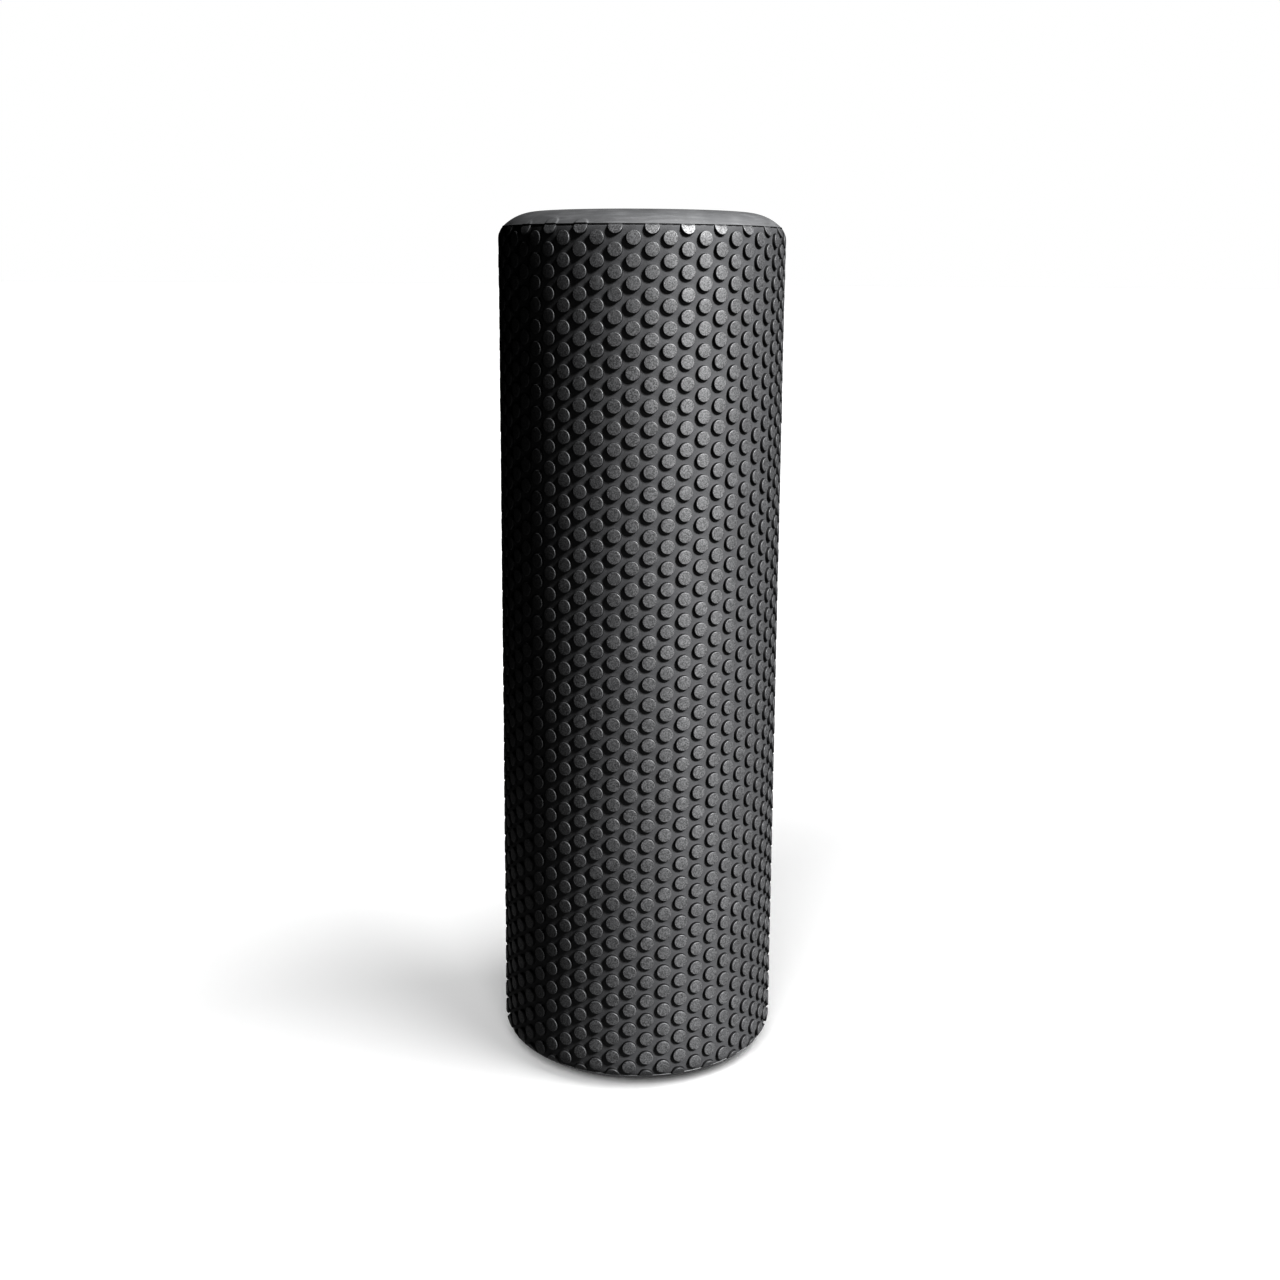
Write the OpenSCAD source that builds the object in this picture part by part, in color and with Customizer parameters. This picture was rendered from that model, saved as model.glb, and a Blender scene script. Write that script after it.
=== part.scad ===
// Studded foam roller standing on one end, +Z along its length and -Y to the front.
// A solid foam log is wrapped in a moulded studded sheet, and a smooth rounded disc closes each end.

/* [Roller] */
// Length over both end discs
roller_length = 450; // [300:10:600]
// Diameter over the studs
roller_diameter = 148; // [136:1:160]

/* [Shoulders] */
// Height of the rounded shoulder at each end
shoulder_height = 13.5; // [12:0.5:16]
// How far in from the side each shoulder reaches
shoulder_width = 20; // [16:1:28]
// Radius of the shoulder's tighter arc, which meets the side
shoulder_side_radius = 9; // [7:0.5:10]

/* [Pieces] */
// Thickness of each smooth end disc
end_disc_thickness = 7.5; // [6:0.5:8.5]
// Thickness of the sleeve, studs included
sleeve_thickness = 10; // [9:0.5:14]
// Width of the butt joint where the sheet's two edges meet, at the back
seam_gap = 0.3; // [0.1:0.1:0.6]

/* [Studs] */
// Columns of studs around the roller, an even number
stud_columns = 52; // [44:2:54]
// Distance between the studs of one column
stud_pitch = 10.57; // [9:0.01:13]
// Distance from the upper end down to the middle of the first studs, which the end disc cuts short
first_stud_drop = 8.8; // [5:0.1:9]
// Diameter of a stud
stud_diameter = 7.4; // [5:0.1:7.6]
// Height of a stud above the sheet around it
stud_height = 1.8; // [1:0.1:2.4]

/* [Hidden] */

roller_radius = roller_diameter / 2;
sheet_radius = roller_radius - stud_height;
core_radius = roller_radius - sleeve_thickness;
sleeve_low = end_disc_thickness;
sleeve_high = roller_length - end_disc_thickness;

// The shoulder is two arcs that meet with one tangent. This is the radius of the flatter one,
// which meets the end face.
shoulder_end_radius = (shoulder_width ^ 2 + shoulder_height ^ 2 - 2 * shoulder_width * shoulder_side_radius)
    / (2 * (shoulder_height - shoulder_side_radius));
side_centre = [roller_radius - shoulder_side_radius, shoulder_height];
end_centre = [roller_radius - shoulder_width, shoulder_end_radius];
// The arcs meet on the line from the flatter arc's centre through the tighter arc's centre
beyond_meeting = end_centre + 2 * roller_radius * (side_centre - end_centre) / norm(side_centre - end_centre);

column_angle = 360 / stud_columns;
stud_radius = stud_diameter / 2;
// A stud's flat top is set so that its rim lies on the roller's diameter
stud_top = sqrt(roller_radius ^ 2 - stud_radius ^ 2);
// Studs are rooted this far out from the axis, inside the sheet
stud_root = core_radius + 2;
// Every other column is shifted down by half a pitch, so the rows count in halves
last_row = floor((roller_length - first_stud_drop - sleeve_low + stud_radius) / stud_pitch * 2) / 2;
// Past this the trimmed studs are cut to the shoulder
trimmed_reach = roller_radius + 1;

$fn = 96;

function row_height(row) = roller_length - first_stud_drop - row * stud_pitch;

// True where a stud stands clear of both shoulders
function on_straight(z) = z - stud_radius > shoulder_height && z + stud_radius < roller_length - shoulder_height;

// Lower half of the roller's outline, from the end face to mid-length, drawn in from the surface by inset
module lower_outline(inset) {
    translate([0, shoulder_height])
        square([roller_radius - inset, roller_length / 2 - shoulder_height]);
    translate([0, inset])
        square([end_centre.x, roller_length / 2 - inset]);
    translate(side_centre)
        circle(shoulder_side_radius - inset);
    intersection() {
        translate(end_centre)
            circle(shoulder_end_radius - inset);
        polygon([end_centre, [end_centre.x, -roller_radius], beyond_meeting]);
    }
}

// A solid of revolution in that outline, between two heights and outside a bore
module turned_solid(inset, bore_radius, z_low, z_high) {
    rotate_extrude() {
        intersection() {
            union() {
                lower_outline(inset);
                translate([0, roller_length])
                    mirror([0, 1])
                        lower_outline(inset);
            }
            translate([bore_radius, z_low])
                square([roller_radius, z_high - z_low]);
        }
    }
}

// The sheet between the shoulders, with one narrow flat to each column of studs
module sheet_flats() {
    corner_radius = sheet_radius / cos(column_angle / 2);
    translate([0, 0, shoulder_height])
        linear_extrude(roller_length - 2 * shoulder_height)
            difference() {
                polygon([
                    for (c = [0 : stud_columns - 1])
                        corner_radius * [cos(c * column_angle - 90), sin(c * column_angle - 90)]
                ]);
                circle(core_radius);
            }
}

// The sheet where it rounds over at both shoulders
module sheet_ends() {
    turned_solid(stud_height, core_radius, sleeve_low, shoulder_height);
    turned_solid(stud_height, core_radius, roller_length - shoulder_height, sleeve_high);
}

// The studs that stand on the flats, or those that reach onto a shoulder
module studs(straight, top) {
    for (c = [0 : stud_columns - 1], row = [c % 2 / 2 : last_row]) {
        z = row_height(row);
        if (on_straight(z) == straight)
            rotate([0, 0, (c + 0.5) * column_angle - 90])
                translate([stud_root, 0, z])
                    rotate([0, 90, 0])
                        cylinder(h = top - stud_root, d = stud_diameter);
    }
}

// One solid log of closed-cell foam, the length of the sleeve
module foam_core() {
    color("#3a3c3f")
        translate([0, 0, sleeve_low])
            cylinder(h = sleeve_high - sleeve_low, r = core_radius);
}

// The moulded sheet wrapped round the core
module studded_sleeve() {
    color("#2a2b2d")
        difference() {
            union() {
                sheet_flats();
                sheet_ends();
                studs(true, stud_top);
                intersection() {
                    studs(false, trimmed_reach);
                    turned_solid(0, core_radius, sleeve_low, sleeve_high);
                }
            }
            translate([-seam_gap / 2, core_radius / 2, 0])
                cube([seam_gap, roller_radius, roller_length]);
        }
}

// A smooth disc with the shoulder's rounded rim, glued over the end of the core and the sleeve
module end_disc() {
    color("#505256")
        turned_solid(0, 0, 0, end_disc_thickness);
}

module bottom_end_disc() {
    end_disc();
}

module top_end_disc() {
    translate([0, 0, roller_length])
        mirror([0, 0, 1])
            end_disc();
}

foam_core();
studded_sleeve();
bottom_end_disc();
top_end_disc();
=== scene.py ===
"""A studded foam roller standing on one end: its looks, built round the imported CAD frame.

Metres, +Z up, -Y to the front.
"""

import math

import bmesh
import bpy
import numpy as np
from mathutils import Matrix, Vector

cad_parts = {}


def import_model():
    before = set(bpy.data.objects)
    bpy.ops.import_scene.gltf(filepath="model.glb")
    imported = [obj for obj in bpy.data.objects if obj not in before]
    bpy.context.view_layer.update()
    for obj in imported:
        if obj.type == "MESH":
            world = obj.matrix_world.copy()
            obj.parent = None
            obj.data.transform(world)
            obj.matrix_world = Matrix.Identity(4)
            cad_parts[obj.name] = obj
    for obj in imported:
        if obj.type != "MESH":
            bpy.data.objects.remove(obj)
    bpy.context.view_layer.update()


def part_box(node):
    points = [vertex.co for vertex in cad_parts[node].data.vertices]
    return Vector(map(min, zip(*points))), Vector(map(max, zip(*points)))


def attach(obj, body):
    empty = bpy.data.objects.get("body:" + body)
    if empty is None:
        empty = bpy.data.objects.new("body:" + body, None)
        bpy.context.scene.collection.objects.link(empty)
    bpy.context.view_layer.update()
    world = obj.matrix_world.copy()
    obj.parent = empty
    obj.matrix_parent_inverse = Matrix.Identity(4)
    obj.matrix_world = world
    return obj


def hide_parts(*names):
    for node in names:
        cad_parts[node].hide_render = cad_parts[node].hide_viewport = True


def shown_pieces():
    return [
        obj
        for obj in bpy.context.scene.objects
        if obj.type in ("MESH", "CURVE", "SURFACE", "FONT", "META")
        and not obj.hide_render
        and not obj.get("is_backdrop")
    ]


MM = 0.001

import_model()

# Sizes that the CAD nodes give
SLEEVE_LOW, SLEEVE_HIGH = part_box("studded_sleeve")
CORE_LOW, CORE_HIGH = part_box("foam_core")
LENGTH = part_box("top_end_disc")[1][2]
RADIUS = SLEEVE_HIGH[0]
CORE_RADIUS = CORE_HIGH[0]
DISC_THICKNESS = SLEEVE_LOW[2]

# The studs and shoulders, as the CAD part has them
COLUMNS = 52
PITCH = 10.57 * MM
FIRST_DROP = 8.8 * MM
LAST_ROW = 41
STUD_RADIUS = 3.7 * MM
STUD_HEIGHT = 1.8 * MM
SHOULDER_HEIGHT = 13.5 * MM
SHOULDER_WIDTH = 20 * MM
SIDE_ARC = 9 * MM
SEAM_GAP = 0.3 * MM

COLUMN_ANGLE = 2 * math.pi / COLUMNS
SHEET_RADIUS = RADIUS - STUD_HEIGHT
STRAIGHT_LOW = SHOULDER_HEIGHT
STRAIGHT_HIGH = LENGTH - SHOULDER_HEIGHT
# Bending over the shoulder, the sheet keeps its length half-way up its studs
BEND_ARC = SIDE_ARC - STUD_HEIGHT / 2
# How far over the shoulder the sheet begins to swell, over what length, and how much
SWELL_START = 2.2 * MM
SWELL_RUN = 3.6 * MM
SWELL_RISE = 1.35 * MM
# The bend, in radians, past which the sheet is cut away anyway
MAX_BEND = 1.45
# How far the lattice wanders, round the roller and along it, and how far the sheet bulges
WANDER_ROUND = 0.25 * MM
WANDER_ALONG = 0.2 * MM
BULGE = 0.12 * MM
# The wander fades out over this length near the ends, and over this angle near the seam
CALM_END = 0.04
CALM_SEAM = 0.3
# How uneven the moulded studs are, as standard deviations of size, height, tilt and place
STUD_GROWTH = 0.008
STUD_RISE = 0.015
STUD_LEAN = 0.012
STUD_NUDGE = 0.05 * MM

# Columns whose first stud presses through the top disc's rim: how much higher than the others
# that stud is, and how proud
PRESSED_COLUMNS = {22: (1.0 * MM, 0.5 * MM), 20: (2.2 * MM, 0.4 * MM), 18: (0.4 * MM, 0.3 * MM)}
# How much wider than a stud its pressed shape is, and the width of its soft edge
PRESSED_SPREAD = 0.4 * MM
PRESSED_EDGE = 1.1 * MM
# The rim this close to the disc's glued face stays where it is
PRESSED_CLEARANCE = 0.05 * MM
# The bead that the knife leaves on the top disc: two points, how proud and how far from the glued face
KNIFE_BEAD = [(0.08 * MM, 0.3 * MM), (0.12 * MM, 0.1 * MM)]
CORE_CHAMFER = 0.6 * MM

# Steps round the turned pieces, and the extra ones over each pressed stud, within so many degrees of it
DISC_STEPS = 208
CORE_STEPS = 128
PRESSED_STEPS = 25
PRESSED_HALF_ANGLE = 3.6
# Points round and along the inner face of the sleeve
INNER_ROUND = 105
INNER_ALONG = 13


# ---- meshes ----


def smooth_noise(rng, waves, spread):
    """A sum of slow waves over the sheet, for the unevenness of moulded foam.

    Returns a function of angle and height.
    """
    turns = rng.integers(1, spread, waves)
    rises = rng.uniform(5, 60, waves)
    phases = rng.uniform(0, 2 * math.pi, waves)
    weights = rng.uniform(0.4, 1, waves)
    weights /= weights.sum()

    def value(angle, z):
        total = 0
        for turn, rise, phase, weight in zip(turns, rises, phases, weights):
            total = total + weight * np.sin(turn * angle + rise * z + phase)
        return total

    return value


def new_piece(name, points, faces):
    mesh = bpy.data.meshes.new(name)
    mesh.from_pydata(points, [], faces)
    mesh.update()
    mesh.shade_smooth()
    piece = bpy.data.objects.new(name, mesh)
    bpy.context.scene.collection.objects.link(piece)
    return piece


# One stud's cell: rings from the middle of its top out to the foot of its fillet, as (share of the
# stud's radius, share of its height, how much of a stud's top the ring is)
STUD_RINGS = [
    (0.86, 1.0, 1.0),
    (0.94, 0.96, 0.8),
    (0.985, 0.80, 0.5),
    (1.005, 0.12, 0.1),
    (1.055, 0.0, 0.0),
]
SIDES = 18


def cell_border(width):
    """The border of a stud's cell, which is the six-sided share of the sheet that is nearest to it.

    Returns one point for each side of the stud, as (sideways, up).
    """
    half = PITCH / 2
    near = (width**2 - half**2) / (2 * width)
    far = (width**2 + half**2) / (2 * width)
    corners = [(far, 0), (near, half), (-near, half), (-far, 0), (-near, -half), (near, -half)]
    per_edge = SIDES // 6
    border = []
    for (x0, y0), (x1, y1) in zip(corners, corners[1:] + corners[:1]):
        for step in range(per_edge):
            t = step / per_edge
            border.append((x0 + (x1 - x0) * t, y0 + (y1 - y0) * t))
    return np.array(border)


def flat_sheet(rng):
    """The unrolled sheet: its points as (sideways, up, out) with a mark for stud tops, and its faces."""
    width = SHEET_RADIUS * COLUMN_ANGLE
    border = cell_border(width)
    spokes = np.arange(SIDES) * 2 * math.pi / SIDES
    circle = np.stack([np.cos(spokes), np.sin(spokes)], 1)
    cells = []
    for column in range(-1, COLUMNS + 1):
        # Every other column lies half a row lower
        shifted = (column + COLUMNS // 2) % 2
        first = -1.0 + shifted / 2
        for count in range(LAST_ROW + 3):
            row = first + count
            real = 0 <= row <= LAST_ROW and 0 <= column < COLUMNS
            x = (column + 0.5 - COLUMNS / 2) * width
            z = LENGTH - FIRST_DROP - row * PITCH
            if row <= LAST_ROW + 1:
                cells.append((x, z, real))

    points, tops, faces = [], [], []
    for x, z, real in cells:
        start = len(points)
        grow = 1 + rng.normal(0, STUD_GROWTH)
        rise = 1 + rng.normal(0, STUD_RISE)
        lean = rng.normal(0, STUD_LEAN, 2)
        nudge = rng.normal(0, STUD_NUDGE, 2)
        height = STUD_HEIGHT if real else 0
        points.append((x + nudge[0], z + nudge[1], height * rise))
        tops.append(1.0 if real else 0.0)
        for share, high, top in STUD_RINGS:
            ring = circle * STUD_RADIUS * share * grow
            out = height * high * rise + (ring @ lean if real and high > 0.5 else 0)
            for (dx, dz), o in zip(ring, np.broadcast_to(out, SIDES)):
                points.append((x + nudge[0] + dx, z + nudge[1] + dz, float(o)))
            tops += [top if real else 0.0] * SIDES
        for dx, dz in border:
            points.append((x + dx, z + dz, 0.0))
        tops += [0.0] * SIDES
        for k in range(SIDES):
            faces.append((start, start + 1 + k, start + 1 + (k + 1) % SIDES))
        for ring in range(len(STUD_RINGS)):
            inner = start + 1 + ring * SIDES
            outer = inner + SIDES
            for k in range(SIDES):
                after = (k + 1) % SIDES
                faces.append((inner + k, outer + k, outer + after, inner + after))
    return np.array(points), np.array(tops), faces


def roll_up(points, wander, bulge):
    """Wraps the unrolled sheet round the core and bends it over both shoulders."""
    x, z, out = points.T
    angle = x / SHEET_RADIUS + math.pi / 2 + math.pi
    # The lattice wanders a little, and not at all near the ends and the seam
    middle = np.clip(np.minimum(z - STRAIGHT_LOW, STRAIGHT_HIGH - z) / CALM_END, 0, 1)
    from_seam = np.clip((math.pi - np.abs(x / SHEET_RADIUS)) / CALM_SEAM, 0, 1)
    angle = angle + WANDER_ROUND / RADIUS * wander(angle, z) * middle * from_seam
    z = z + WANDER_ALONG * wander(angle + 2, z) * middle * from_seam
    out = out + BULGE * (bulge(angle, z) - 1) * middle

    over = np.maximum(z - STRAIGHT_HIGH, 0) - np.maximum(STRAIGHT_LOW - z, 0)
    # Close to the end discs the sheet swells until it is nearly level with them
    near_end = np.clip((np.abs(over) - SWELL_START) / SWELL_RUN, 0, 1)
    swell = SWELL_RISE * near_end**2 * (3 - 2 * near_end)
    out = out + swell * np.clip(1 - out / STUD_HEIGHT, 0, 1)
    bend = np.clip(over / BEND_ARC, -MAX_BEND, MAX_BEND)
    arc = SIDE_ARC - STUD_HEIGHT + out
    radius = RADIUS - SIDE_ARC + arc * np.cos(bend)
    height = np.clip(z, STRAIGHT_LOW, STRAIGHT_HIGH) + arc * np.sin(bend)
    return np.stack([radius * np.cos(angle), radius * np.sin(angle), height], 1)


def cut(bm, place, normal):
    """Cuts the mesh by a plane and keeps what lies behind it."""
    geometry = bm.verts[:] + bm.edges[:] + bm.faces[:]
    bmesh.ops.bisect_plane(
        bm, geom=geometry, dist=1e-7, plane_co=place, plane_no=normal, clear_outer=True
    )


def studded_sleeve():
    """The moulded sheet, with every stud in its own cell.

    It is cut straight at both ends and at the seam, and closed round its back.
    """
    rng = np.random.default_rng(11)
    points, tops, faces = flat_sheet(rng)
    mesh = bpy.data.meshes.new("sheet")
    mesh.from_pydata(points, [], faces)
    mark = mesh.attributes.new("stud_top", "FLOAT", "POINT")
    mark.data.foreach_set("value", tops)
    bm = bmesh.new()
    bm.from_mesh(mesh)
    bmesh.ops.remove_doubles(bm, verts=bm.verts[:], dist=0.01 * MM)
    half = math.pi * SHEET_RADIUS - SEAM_GAP / 2
    cut(bm, (half, 0, 0), (1, 0, 0))
    cut(bm, (-half, 0, 0), (-1, 0, 0))
    bm.to_mesh(mesh)
    bm.free()

    flat = np.empty(len(mesh.vertices) * 3)
    mesh.vertices.foreach_get("co", flat)
    wander = smooth_noise(rng, 6, 5)
    bulge = smooth_noise(rng, 8, 7)
    mesh.vertices.foreach_set("co", roll_up(flat.reshape(-1, 3), wander, bulge).ravel())
    bm = bmesh.new()
    bm.from_mesh(mesh)
    cut(bm, (0, 0, LENGTH - DISC_THICKNESS), (0, 0, 1))
    cut(bm, (0, 0, DISC_THICKNESS), (0, 0, -1))
    close_back(bm)
    bmesh.ops.recalc_face_normals(bm, faces=bm.faces[:])
    bm.to_mesh(mesh)
    bm.free()
    mesh.name = "studded_sleeve_skin"
    mesh.shade_smooth()
    mesh.set_sharp_from_angle(angle=math.radians(60))
    piece = bpy.data.objects.new("studded_sleeve_skin", mesh)
    bpy.context.scene.collection.objects.link(piece)
    # Keeps the flat tops and the sheet flat right up to their edges
    flatten = piece.modifiers.new("flatten", "WEIGHTED_NORMAL")
    flatten.keep_sharp = True
    return piece


def border_loop(bm, start):
    """The vertices of the mesh's one open border, in order from start, going along the lower end first."""
    loop = [start]
    level = start.co.z
    beside = [e for e in start.link_edges if e.is_boundary]
    edge = min(beside, key=lambda e: abs(e.other_vert(start).co.z - level))
    vert = edge.other_vert(start)
    while vert is not start:
        loop.append(vert)
        edge = next(e for e in vert.link_edges if e.is_boundary and e is not edge)
        vert = edge.other_vert(vert)
    return loop


def close_back(bm):
    """Gives the cut sheet its end faces, its seam faces and its inner face, which lies on the core."""
    half_gap = SEAM_GAP / 2 / SHEET_RADIUS
    start_angle, end_angle = math.pi / 2 + half_gap, 5 * math.pi / 2 - half_gap
    low_end, high_end = DISC_THICKNESS, LENGTH - DISC_THICKNESS

    def is_corner(v, z):
        beside = [e.other_vert(v).co.z for e in v.link_edges if e.is_boundary]
        return abs(v.co.z - z) < 1e-6 and max(abs(b - z) for b in beside) > 1e-6

    border = [v for v in bm.verts if v.is_boundary]
    corners = [v for v in border if abs(v.co.x) < 2 * SEAM_GAP and v.co.y > 0]
    start = next(v for v in corners if v.co.x < 0 and is_corner(v, low_end))
    loop = border_loop(bm, start)
    turns = [k for k, v in enumerate(loop) if is_corner(v, low_end) or is_corner(v, high_end)]
    if len(turns) != 4:
        raise RuntimeError(f"the sheet's border has {len(turns)} corners")
    _, a, b, c = turns
    sides = [loop[0 : a + 1], loop[a : b + 1], loop[b : c + 1], loop[c:] + [start]]

    inner = []
    angles = np.linspace(start_angle, end_angle, INNER_ROUND)
    circle = [(CORE_RADIUS * math.cos(t), CORE_RADIUS * math.sin(t)) for t in angles]
    for z in np.linspace(low_end, high_end, INNER_ALONG):
        inner.append([bm.verts.new((x, y, z)) for x, y in circle])
    for lower, upper in zip(inner, inner[1:]):
        for k in range(len(lower) - 1):
            bm.faces.new((lower[k], upper[k], upper[k + 1], lower[k + 1]))
    bm.faces.new(sides[0] + inner[0][::-1])
    bm.faces.new(sides[1] + [row[-1] for row in inner][::-1])
    bm.faces.new(sides[2] + inner[-1])
    bm.faces.new(sides[3] + [row[0] for row in inner])


def turned_piece(name, outline, angles):
    """A closed solid of revolution. Its outline of (radius, height) starts and ends on the axis."""
    steps = len(angles)
    points = [(0, 0, outline[0][1])]
    for radius, height in outline[1:-1]:
        points += [(radius * math.cos(angle), radius * math.sin(angle), height) for angle in angles]
    points.append((0, 0, outline[-1][1]))
    last = len(points) - 1
    faces = []
    rings = len(outline) - 2
    for k in range(steps):
        after = (k + 1) % steps
        faces.append((0, 1 + after, 1 + k))
        for ring in range(rings - 1):
            a = 1 + ring * steps
            b = a + steps
            faces.append((a + k, a + after, b + after, b + k))
        top = 1 + (rings - 1) * steps
        faces.append((last, top + k, top + after))
    return new_piece(name, points, faces)


def arc_points(centre, radius, start, end, count):
    """Points along an arc, with angles in radians from outward level, turning down."""
    angles = np.linspace(start, end, count)
    return [(centre[0] + radius * math.cos(a), centre[1] - radius * math.sin(a)) for a in angles]


def disc_outline(bead):
    """The lower end disc's outline, from the middle of its lower face round to its glued face.

    The shoulder is two arcs that meet with one tangent.
    """
    end_arc = (SHOULDER_WIDTH**2 + SHOULDER_HEIGHT**2 - 2 * SHOULDER_WIDTH * SIDE_ARC) / (
        2 * (SHOULDER_HEIGHT - SIDE_ARC)
    )
    side = (RADIUS - SIDE_ARC, SHOULDER_HEIGHT)
    end = (RADIUS - SHOULDER_WIDTH, end_arc)
    meet = math.atan2(end[1] - side[1], side[0] - end[0])
    lip = math.asin((SHOULDER_HEIGHT - DISC_THICKNESS) / SIDE_ARC)
    outline = [(0, 0)]
    outline += [(r, 0) for r in np.linspace(4 * MM, end[0], 12)]
    outline += arc_points(end, end_arc, math.pi / 2, meet, 40)[1:]
    outline += arc_points(side, SIDE_ARC, meet, lip, 9)[1:]
    rim_radius = outline[-1][0]
    if bead:
        outline.pop()
        outline += [(rim_radius + proud, DISC_THICKNESS - down) for proud, down in KNIFE_BEAD]
        outline.append((rim_radius, DISC_THICKNESS))
    outline += [(r, DISC_THICKNESS) for r in (rim_radius * 0.7, rim_radius * 0.35)]
    outline.append((0, DISC_THICKNESS))
    return outline


def column_angle(column):
    return (column + 0.5 - COLUMNS / 2) * COLUMN_ANGLE + 3 * math.pi / 2


def press_through(mesh):
    """Raises the rim where the first studs of some columns press through it."""
    for column, (higher, rise) in PRESSED_COLUMNS.items():
        bend = (LENGTH - FIRST_DROP - STRAIGHT_HIGH + higher) / BEND_ARC
        radius = RADIUS - SIDE_ARC + SIDE_ARC * math.cos(bend)
        height = STRAIGHT_HIGH + SIDE_ARC * math.sin(bend)
        angle = column_angle(column)
        centre = Vector((radius * math.cos(angle), radius * math.sin(angle), height))
        out = Vector((math.cos(angle) * math.cos(bend), math.sin(angle) * math.cos(bend), math.sin(bend)))
        for v in mesh.vertices:
            inside = (STUD_RADIUS + PRESSED_SPREAD - (v.co - centre).length) / PRESSED_EDGE
            if inside > 0 and v.co.z > LENGTH - DISC_THICKNESS + PRESSED_CLEARANCE:
                share = min(inside, 1)
                v.co += out * rise * share * share * (3 - 2 * share)


def end_disc(name, upper):
    """One end disc. The upper one is the lower one turned over, with the pressed studs in its rim."""
    angles = set(np.linspace(0, 2 * math.pi, DISC_STEPS, endpoint=False))
    if upper:
        finer = np.radians(np.linspace(-PRESSED_HALF_ANGLE, PRESSED_HALF_ANGLE, PRESSED_STEPS))
        for column in PRESSED_COLUMNS:
            angles |= set(column_angle(column) + finer)
    piece = turned_piece(name, disc_outline(bead=upper), sorted(angles))
    if upper:
        for v in piece.data.vertices:
            v.co.z = LENGTH - v.co.z
        piece.data.flip_normals()
        press_through(piece.data)
    return piece


def foam_core():
    """The log inside: its ends are a little chamfered, as a turned foam log's are."""
    low, high = CORE_LOW[2], CORE_HIGH[2]
    outline = [(0, low), (CORE_RADIUS * 0.5, low), (CORE_RADIUS - CORE_CHAMFER, low)]
    outline += [(CORE_RADIUS, z) for z in np.linspace(low + CORE_CHAMFER, high - CORE_CHAMFER, 24)]
    outline += [(CORE_RADIUS - CORE_CHAMFER, high), (CORE_RADIUS * 0.5, high), (0, high)]
    return turned_piece("foam_core_log", outline, np.linspace(0, 2 * math.pi, CORE_STEPS, endpoint=False))


# ---- materials ----


class Nodes:
    """A short way to write a material's nodes."""

    def __init__(self, name):
        self.material = bpy.data.materials.new(name)
        self.material.use_nodes = True
        self.tree = self.material.node_tree
        self.shader = self.tree.nodes["Principled BSDF"]

    def add(self, kind, **inputs):
        node = self.tree.nodes.new("ShaderNode" + kind)
        for key, value in inputs.items():
            self.put(node, key.replace("_", " "), value)
        return node

    def put(self, node, key, value):
        socket = node.inputs[int(key)] if key.isdigit() else node.inputs[key]
        if isinstance(value, bpy.types.NodeSocket):
            self.tree.links.new(value, socket)
        else:
            socket.default_value = value

    def place(self):
        return self.add("TexCoord").outputs["Object"]

    def noise(self, scale, detail=3.0, roughness=0.55, place=None):
        place = place or self.place()
        node = self.add("TexNoise", Vector=place, Scale=scale, Detail=detail, Roughness=roughness)
        return node.outputs["Fac"]

    def ramp(self, value, low, high, out_low=0.0, out_high=1.0):
        node = self.add("MapRange")
        self.put(node, "Value", value)
        ends = {"From Min": low, "From Max": high, "To Min": out_low, "To Max": out_high}
        for key, number in ends.items():
            node.inputs[key].default_value = number
        return node.outputs["Result"]

    def math(self, operation, a, b):
        node = self.add("Math")
        node.operation = operation
        self.put(node, "0", a)
        self.put(node, "1", b)
        return node.outputs[0]

    def blend(self, share, low, high):
        node = self.tree.nodes.new("ShaderNodeMix")
        node.data_type = "RGBA"
        self.put(node, "0", share)
        self.put(node, "6", low)
        self.put(node, "7", high)
        return node.outputs[2]

    def bump(self, height, distance, strength, normal=None):
        node = self.add("Bump", Height=height, Distance=distance, Strength=strength)
        if normal is not None:
            self.put(node, "Normal", normal)
        return node.outputs["Normal"]


# Foam colours, as linear RGBA
SHEET_DARK = (0.024, 0.0242, 0.025, 1)
SHEET_PALE = (0.040, 0.0403, 0.0415, 1)
STUD_DARK = (0.008, 0.0081, 0.0084, 1)
STUD_PALE = (0.056, 0.0564, 0.0578, 1)
# Painted shade for the walls of the studs, darker than the foam itself
PAINTED_WALL_SHADE = (0.006, 0.006, 0.0063, 1)
WORN_PALE = (0.040, 0.0405, 0.042, 1)
WORN_DARK = (0.008, 0.008, 0.0084, 1)
END_DARK = (0.030, 0.0303, 0.0312, 1)
END_PALE = (0.042, 0.0424, 0.0434, 1)
END_CLOUD = (0.052, 0.0524, 0.0536, 1)
END_STREAK = (0.070, 0.0705, 0.072, 1)
CORE_CELL = (0.022, 0.023, 0.025, 1)
CORE_WALL = (0.045, 0.046, 0.049, 1)


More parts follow.
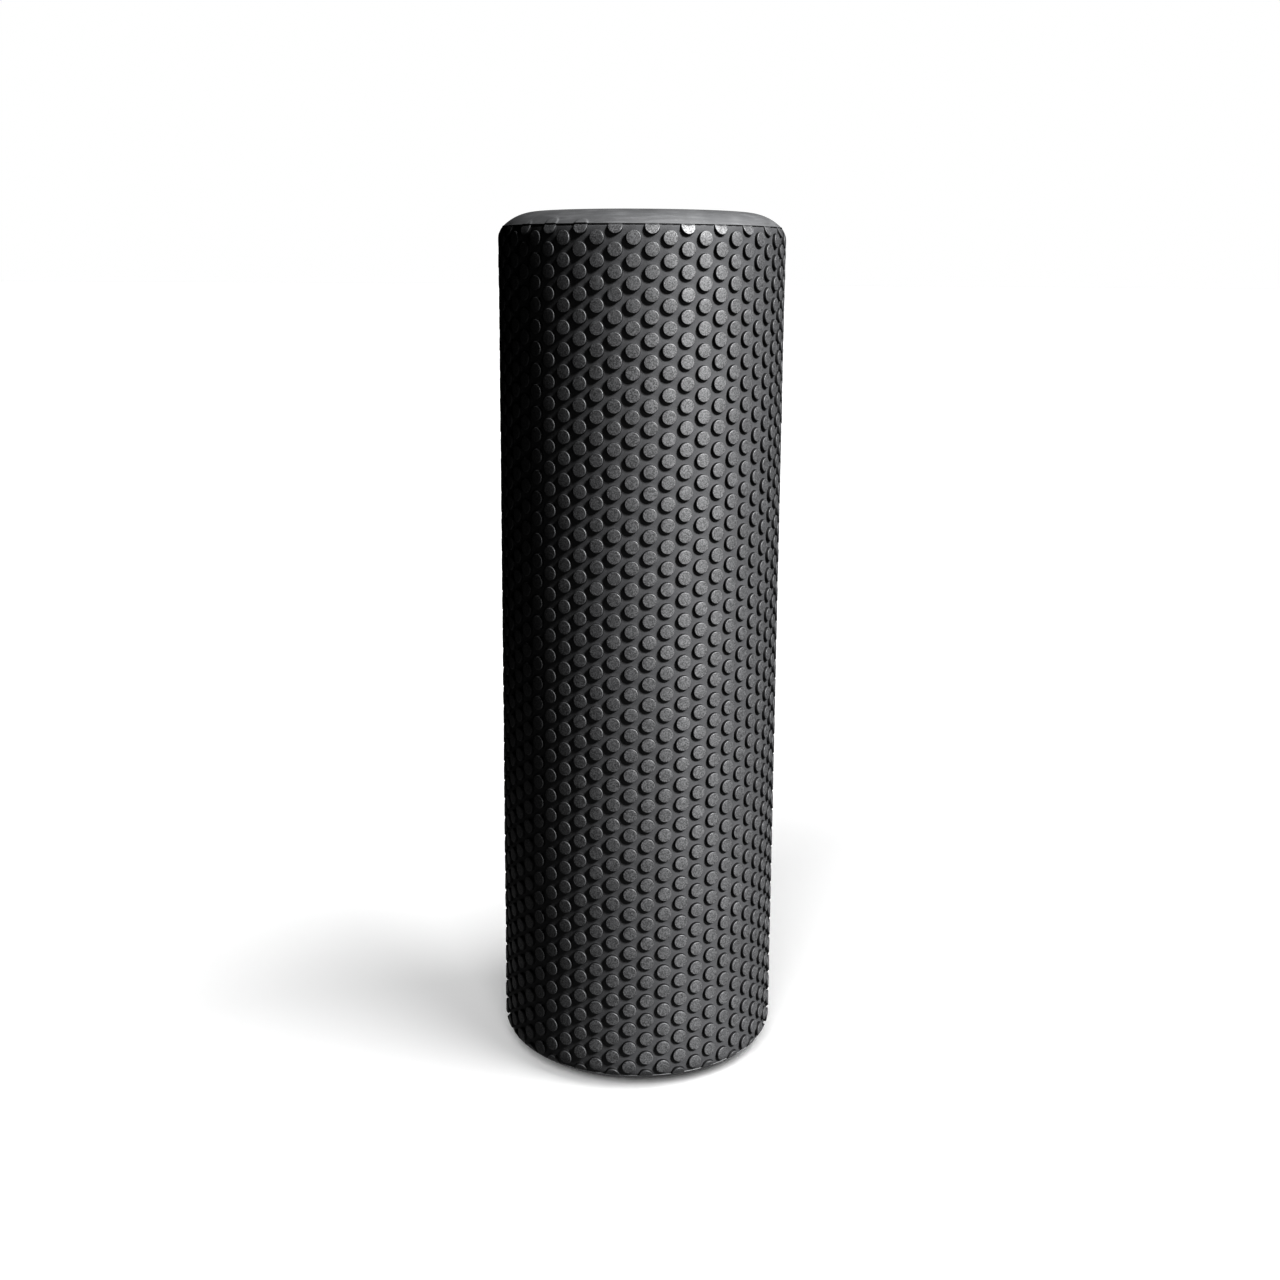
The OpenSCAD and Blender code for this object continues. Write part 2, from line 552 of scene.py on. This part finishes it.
def sleeve_foam():
    """Charcoal foam skin, with a fine grain on the sheet and a coarser one on the stud tops.

    The rims of the tops are smoother, and the walls of the studs are painted darker, as painted shade.
    """
    n = Nodes("sleeve_foam")
    mark = n.add("Attribute")
    mark.attribute_name = "stud_top"
    share = mark.outputs["Fac"]
    top_share = n.ramp(share, 0.55, 0.95)
    rim_share = n.math("MULTIPLY", n.ramp(share, 0.3, 0.55), n.ramp(share, 0.97, 0.8))
    # Where the walls of the studs are, which get the painted shade
    wall_shade_share = n.math("MULTIPLY", n.ramp(share, 0.02, 0.1), n.ramp(share, 0.6, 0.4))
    mottle = n.noise(1500, 2, 0.8)
    fine = n.noise(4200, 3, 0.6)
    broad = n.noise(22, 3, 0.5)
    patch = n.noise(140, 2, 0.5)
    sheet = n.blend(n.ramp(fine, 0.35, 0.65), SHEET_DARK, SHEET_PALE)
    studs = n.blend(n.ramp(mottle, 0.40, 0.62), STUD_DARK, STUD_PALE)
    colour = n.blend(top_share, sheet, studs)
    colour = n.blend(n.ramp(broad, 0.3, 0.7, 0.0, 0.08), colour, WORN_PALE)
    colour = n.blend(n.ramp(patch, 0.3, 0.7, 0.0, 0.2), colour, WORN_DARK)
    # The walls of the studs get a painted shade over the foam's colour
    n.put(n.shader, "Base Color", n.blend(wall_shade_share, colour, PAINTED_WALL_SHADE))
    top_roughness = n.math("MULTIPLY", n.ramp(mottle, 0.38, 0.64, 0.66, 0.52), top_share)
    roughness = n.math("ADD", top_roughness, n.ramp(top_share, 0, 1, 0.7, 0.0))
    n.put(n.shader, "Roughness", n.math("SUBTRACT", roughness, n.ramp(rim_share, 0, 1, 0.0, 0.14)))
    n.put(n.shader, "Specular IOR Level", n.ramp(top_share, 0, 1, 0.15, 0.44))
    n.shader.inputs["Anisotropic"].default_value = 0.25
    n.shader.inputs["Anisotropic Rotation"].default_value = 0.25
    grain = n.bump(fine, 0.10 * MM, 0.35)
    n.put(n.shader, "Normal", n.bump(mottle, 0.20 * MM, 0.5, grain))
    return n.material


def end_foam():
    """The smoother skin of the end discs, with faint streaks round them."""
    n = Nodes("end_foam")
    fine = n.noise(3600, 3, 0.6)
    broad = n.noise(60, 4, 0.55)
    along = n.add("VectorMath", **{"0": n.place(), "1": (1.0, 1.0, 14.0)})
    along.operation = "MULTIPLY"
    streaks = n.noise(70, 3, 0.6, along.outputs[0])
    colour = n.blend(n.ramp(fine, 0.3, 0.7), END_DARK, END_PALE)
    colour = n.blend(n.ramp(broad, 0.35, 0.7, 0.0, 0.35), colour, END_CLOUD)
    colour = n.blend(n.ramp(streaks, 0.5, 0.68, 0.0, 0.35), colour, END_STREAK)
    n.put(n.shader, "Base Color", colour)
    n.put(n.shader, "Roughness", n.ramp(broad, 0.3, 0.7, 0.52, 0.64))
    n.shader.inputs["Specular IOR Level"].default_value = 0.4
    grain = n.bump(fine, 0.08 * MM, 0.3)
    n.put(n.shader, "Normal", n.bump(streaks, 0.12 * MM, 0.3, grain))
    return n.material


def core_foam():
    """Closed cells of the cut log."""
    n = Nodes("core_foam")
    cells = n.add("TexVoronoi", Vector=n.place(), Scale=900.0).outputs["Distance"]
    colour = n.blend(n.ramp(cells, 0.1, 0.6), CORE_CELL, CORE_WALL)
    n.put(n.shader, "Base Color", colour)
    n.put(n.shader, "Roughness", n.ramp(cells, 0.1, 0.6, 0.75, 0.9))
    n.put(n.shader, "Normal", n.bump(cells, 0.2 * MM, 0.5))
    return n.material


def dress(piece, material, node):
    piece.data.materials.append(material)
    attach(piece, "root")
    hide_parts(node)


# ---- the object ----

dress(studded_sleeve(), sleeve_foam(), "studded_sleeve")
end_material = end_foam()
dress(end_disc("bottom_end_disc_skin", False), end_material, "bottom_end_disc")
dress(end_disc("top_end_disc_skin", True), end_material, "top_end_disc")
dress(foam_core(), core_foam(), "foam_core")

# ---- the stage ----

# Lens and sensor in millimetres, places in metres and angles in degrees
SENSOR = 36
LENS = 43.91
CAMERA_SHIFT = -0.05
CAMERA_DISTANCE = 0.824
CAMERA_HEIGHT = 0.4188
CAMERA_TURN_DOWN_ROLL = (-0.24, 10.92, 0.36)
ROOM_LIGHT = 0.008
CONTRAST_GAMMA = 0.65
FLOOR_STEPS = 96
FLOOR_REACH = 60
# The bounce lights lie just above the floor
BOUNCE_DISTANCE = LENGTH / 2 - 1 * MM


def pale_floor():
    """A wide pale floor. It throws no light back: the bounce lights do that, so that it can be weaker."""
    n = Nodes("floor_paint")
    speckle = n.noise(3, 2, 0.5)
    n.put(n.shader, "Base Color", n.blend(speckle, (0.85, 0.85, 0.85, 1), (0.87, 0.87, 0.87, 1)))
    n.shader.inputs["Roughness"].default_value = 0.9
    n.shader.inputs["Specular IOR Level"].default_value = 0.1
    angles = [2 * math.pi * k / FLOOR_STEPS for k in range(FLOOR_STEPS)]
    points = [(0, 0, 0)] + [(FLOOR_REACH * math.cos(a), FLOOR_REACH * math.sin(a), 0) for a in angles]
    faces = [(0, 1 + k, 1 + (k + 1) % FLOOR_STEPS) for k in range(FLOOR_STEPS)]
    piece = new_piece("stage_floor", points, faces)
    piece.data.materials.append(n.material)
    piece.visible_diffuse = False
    piece.visible_glossy = False
    piece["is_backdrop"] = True
    return piece


def world():
    """White behind everything, and very little light from all round."""
    made = bpy.data.worlds.new("surround")
    made.use_nodes = True
    tree = made.node_tree
    seen = tree.nodes["Background"]
    seen.inputs["Color"].default_value = (1, 1, 1, 1)
    seen.inputs["Strength"].default_value = 1
    fill = tree.nodes.new("ShaderNodeBackground")
    fill.inputs["Color"].default_value = (1, 1, 1, 1)
    fill.inputs["Strength"].default_value = ROOM_LIGHT
    mix = tree.nodes.new("ShaderNodeMixShader")
    path = tree.nodes.new("ShaderNodeLightPath")
    tree.links.new(path.outputs["Is Camera Ray"], mix.inputs[0])
    tree.links.new(fill.outputs[0], mix.inputs[1])
    tree.links.new(seen.outputs[0], mix.inputs[2])
    tree.links.new(mix.outputs[0], tree.nodes["World Output"].inputs["Surface"])
    bpy.context.scene.world = made


def lamp(name, kind, azimuth, elevation, distance, power, lights_only):
    """A lamp aimed at the roller's middle, which lights one collection only.

    Azimuth 0 is in front and 90 to the right.
    """
    a, e = math.radians(azimuth), math.radians(elevation)
    away = Vector((math.sin(a) * math.cos(e), -math.cos(a) * math.cos(e), math.sin(e)))
    data = bpy.data.lights.new(name, kind)
    data.energy = power
    holder = bpy.data.objects.new(name, data)
    holder.location = Vector((0, 0, LENGTH / 2)) + away * distance
    holder.rotation_euler = (-away).to_track_quat("-Z", "Y").to_euler()
    holder.visible_camera = False
    holder.light_linking.receiver_collection = lights_only
    bpy.context.scene.collection.objects.link(holder)
    return data


def softbox(name, azimuth, elevation, distance, size, power, lights_only):
    """A round soft light near the roller."""
    data = lamp(name, "AREA", azimuth, elevation, distance, power, lights_only)
    data.shape = "DISK"
    data.size = size


def skylight(name, azimuth, elevation, spread, power, lights_only):
    """Light from far away that comes from a wide round patch of sky."""
    lamp(name, "SUN", azimuth, elevation, 3, power, lights_only).angle = math.radians(spread)


def camera():
    """At the photograph's angle: a little lower than the roller's top, and looking slightly down."""
    data = bpy.data.cameras.new("camera")
    data.sensor_width = SENSOR
    data.lens = LENS
    data.shift_y = CAMERA_SHIFT
    data.clip_start, data.clip_end = 0.01, 100
    cam = bpy.data.objects.new("camera", data)
    bpy.context.scene.collection.objects.link(cam)
    turn, down, roll = (math.radians(angle) for angle in CAMERA_TURN_DOWN_ROLL)
    look = Matrix.Rotation(turn, 4, "Z") @ Matrix.Translation((0, -CAMERA_DISTANCE, CAMERA_HEIGHT))
    cam.matrix_world = look @ Matrix.Rotation(math.pi / 2 - down, 4, "X") @ Matrix.Rotation(roll, 4, "Z")
    bpy.context.scene.camera = cam


floor = pale_floor()
world()
camera()
on_roller, on_upper, on_lower, on_floor = (
    bpy.data.collections.new("lit_" + part) for part in ("roller", "upper_disc", "lower_disc", "floor")
)
# The discs have the roller's lamps and one more each
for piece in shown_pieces():
    on_roller.objects.link(piece)
    if "disc" in piece.name:
        (on_upper if "top" in piece.name else on_lower).objects.link(piece)
on_floor.objects.link(floor)
# Name, azimuth, elevation, distance, size, power and what it lights
for light in (
    ("key", 48, 38, 4, 0.9, 1430, on_roller),
    ("low", 50, -7, 1.5, 0.4, 6.5, on_roller),
    ("front", 14, 0, 1.5, 0.5, 7, on_roller),
    ("bounce", 0, -90, BOUNCE_DISTANCE, 0.8, 0.9, on_roller),
    ("disc_top", 20, 78, 1.2, 0.5, 1.5, on_upper),
    ("disc_bounce", 0, -90, BOUNCE_DISTANCE, 0.8, 60, on_lower),
):
    softbox(*light)
# Name, azimuth, elevation, spread, strength and what it lights
for light in (
    ("floor_shadow_light", 68, 52, 42, 2.0, on_floor),
    ("floor_front_fill", -10, 35, 50, 3.2, on_floor),
    ("floor_fill", 0, 90, 180, 1.0, on_floor),
):
    skylight(*light)
# The photograph's shadows are close to black, which a gamma under 1 gives
bpy.context.scene.view_settings.view_transform = "Standard"
bpy.context.scene.view_settings.gamma = CONTRAST_GAMMA
